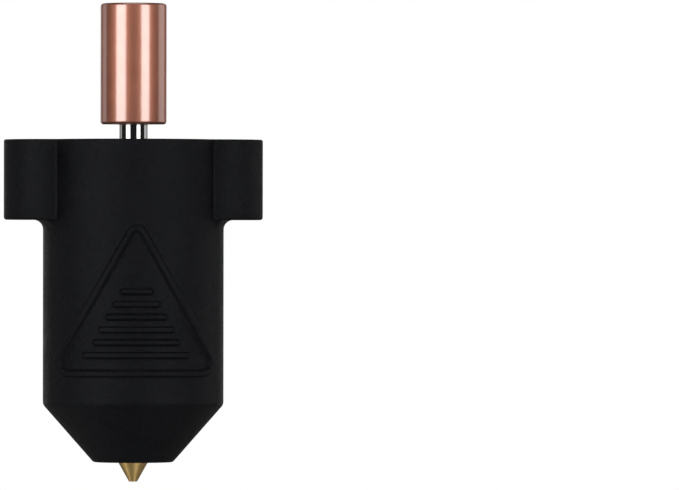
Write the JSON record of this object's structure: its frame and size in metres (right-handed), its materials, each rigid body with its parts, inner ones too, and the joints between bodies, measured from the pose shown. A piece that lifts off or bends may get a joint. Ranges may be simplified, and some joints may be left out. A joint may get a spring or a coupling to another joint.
{
  "type": "hotend assembly",
  "caption": "Printer hotend: copper cooling tube and steel throat on a ring-heated core, with two threaded posts, a brass nozzle and a pull-off silicone sock.",
  "frame": {"origin": "on the cooling tube's axis, in the plane of the two posts' tops and of the sock's rim, where the heatsink seats", "axes": "+Z along the tube's axis, away from the nozzle; +X through the right-hand post seen from the patterned front; -Y is the patterned front, +Y the side with the lead outlet"},
  "size_m": [0.0274, 0.0194, 0.0506],
  "materials": {
    "copper": "turned and polished copper",
    "polished_steel": "polished stainless steel",
    "nickel": "nickel-plated copper, satin",
    "ceramic": "fired alumina, off-white",
    "mica": "mica sheet, matt",
    "ceramic_wool": "ceramic fibre paper, soft",
    "black_steel": "black oxide steel",
    "plate_steel": "stainless steel, rolled",
    "brass": "turned brass",
    "silicone": "matt black silicone rubber, fine grain"
  },
  "bodies": {
    "hot_end": {"cooling_tube": "copper", "throat_tube": "polished_steel", "heat_break_foot": "nickel", "heater_core": "nickel", "ceramic_heater": "ceramic", "upper_washer": "mica", "lower_washer": "mica", "insulation_sleeve": "ceramic_wool", "heater_shell": "polished_steel", "heater_terminal_left": "nickel", "heater_terminal_right": "nickel", "heater_retaining_nut": "nickel", "thermistor_capsule": "polished_steel", "thermistor_grub_screw": "black_steel", "flange_insulator": "mica", "mounting_flange": "plate_steel", "post_left": "plate_steel", "post_right": "plate_steel", "flange_screw_front": "black_steel", "flange_screw_left": "black_steel", "flange_screw_right": "black_steel"},
    "nozzle": {"nozzle": "brass"},
    "sock": {"silicone_sock": "silicone"}
  },
  "joints": [
    {"name": "sock_pull_off", "type": "slide", "parent": "hot_end", "child": "sock", "axis": [0, 0, -1], "range_m": [0, 0.04]},
    {"name": "nozzle_out", "type": "slide", "parent": "hot_end", "child": "nozzle", "axis": [0, 0, -1], "range_m": [0, 0.014]}
  ]
}
